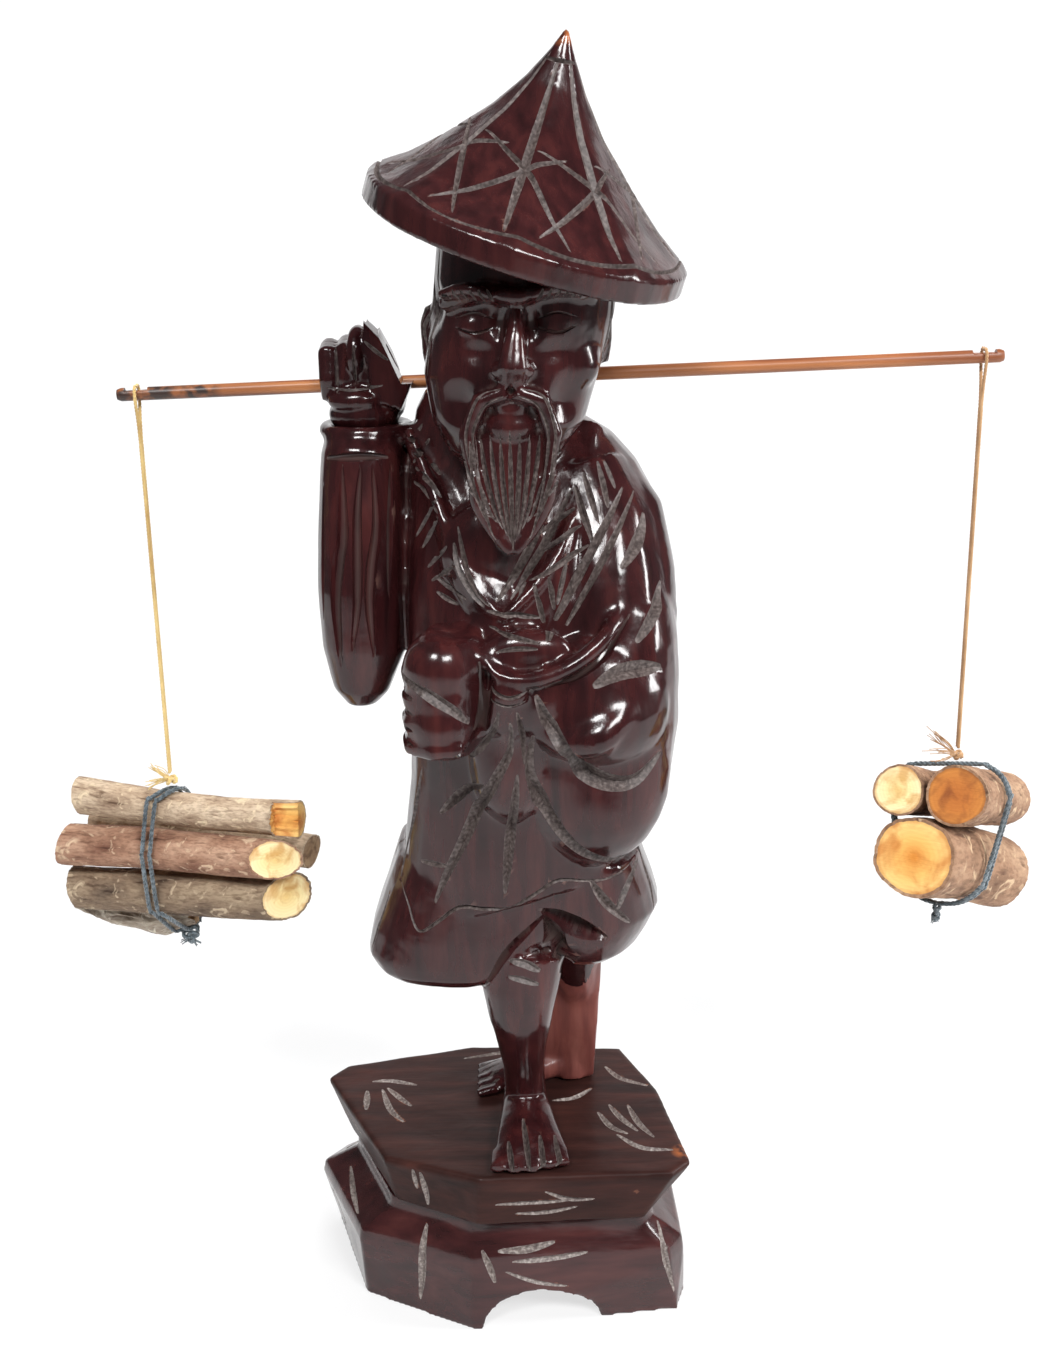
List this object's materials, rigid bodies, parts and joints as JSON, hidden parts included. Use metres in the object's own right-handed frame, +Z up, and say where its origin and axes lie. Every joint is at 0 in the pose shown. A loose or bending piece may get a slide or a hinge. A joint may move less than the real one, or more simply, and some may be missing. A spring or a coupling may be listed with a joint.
{
  "type": "carved wooden figurine",
  "caption": "Carved hardwood figure of an old woodcutter in a pointed hat, holding a shoulder pole with two bundles of twigs hung on strings, on a two-tier base.",
  "frame": {"origin": "on the floor under the middle of the base, at the foot of the plinth", "axes": "+Z up, the figure looks along -Y, +X is to the viewer's right and runs along the carrying pole"},
  "size_m": [0.2542, 0.0886, 0.2983],
  "materials": {
    "dark_wood": "polished dark hardwood, near black with red glints, waxed to a soft gloss",
    "base_wood": "polished dark hardwood, flat planed faces with worn brown edges",
    "dowel_wood": "plain unfinished dowel, hidden",
    "pole_wood": "smooth stained bamboo with dark streaks",
    "thread": "twisted cream thread",
    "twig_bark": "rough grey-brown bark with pale sawn ends",
    "elastic_cord": "dark blue-grey covered elastic"
  },
  "bodies": {
    "figure": {"plinth": "base_wood", "rock_slab": "base_wood", "base_dowel_1": "dowel_wood", "base_dowel_2": "dowel_wood", "foot_peg_1": "dowel_wood", "foot_peg_2": "dowel_wood", "carved_figure": "dark_wood", "raised_hand": "dark_wood", "hand_peg": "dowel_wood", "hat": "dark_wood", "hat_peg": "dowel_wood"},
    "pole": {"carrying_pole": "pole_wood"},
    "left_string": {"left_string": "thread"},
    "left_knot": {"left_string_knot": "thread"},
    "left_bundle": {"left_log_1": "twig_bark", "left_log_2": "twig_bark", "left_log_3": "twig_bark", "left_log_4": "twig_bark", "left_log_5": "twig_bark", "left_elastic_tie": "elastic_cord", "left_tie_knot": "elastic_cord"},
    "right_string": {"right_string": "thread"},
    "right_knot": {"right_string_knot": "thread"},
    "right_bundle": {"right_log_1": "twig_bark", "right_log_2": "twig_bark", "right_log_3": "twig_bark", "right_elastic_tie": "elastic_cord", "right_tie_knot": "elastic_cord"}
  },
  "joints": [
    {"name": "pole_slide", "type": "slide", "parent": "figure", "child": "pole", "axis": [0.9996, 0, 0.0279], "range_m": [-0.03, 0.008]},
    {"name": "left_swing", "type": "hinge", "parent": "pole", "child": "left_string", "pos_m": [-0.08256, 0.014, 0.22275], "axis": [1, 0, 0], "range_deg": [-30, 30]},
    {"name": "left_turn", "type": "hinge", "parent": "left_string", "child": "left_knot", "pos_m": [-0.08256, 0.014, 0.12675], "axis": [0, 0, 1], "range_deg": [-90, 90]},
    {"name": "left_rock", "type": "hinge", "parent": "left_knot", "child": "left_bundle", "pos_m": [-0.08256, 0.014, 0.12675], "axis": [0.225, 0.9744, 0], "range_deg": [-12, 12]},
    {"name": "right_swing", "type": "hinge", "parent": "pole", "child": "right_string", "pos_m": [0.11436, 0.014, 0.22825], "axis": [1, 0, 0], "range_deg": [-30, 30]},
    {"name": "right_turn", "type": "hinge", "parent": "right_string", "child": "right_knot", "pos_m": [0.11436, 0.014, 0.13005], "axis": [0, 0, 1], "range_deg": [-90, 90]},
    {"name": "right_rock", "type": "hinge", "parent": "right_knot", "child": "right_bundle", "pos_m": [0.11436, 0.014, 0.13005], "axis": [-0.8746, 0.4848, 0], "range_deg": [-12, 12]}
  ]
}
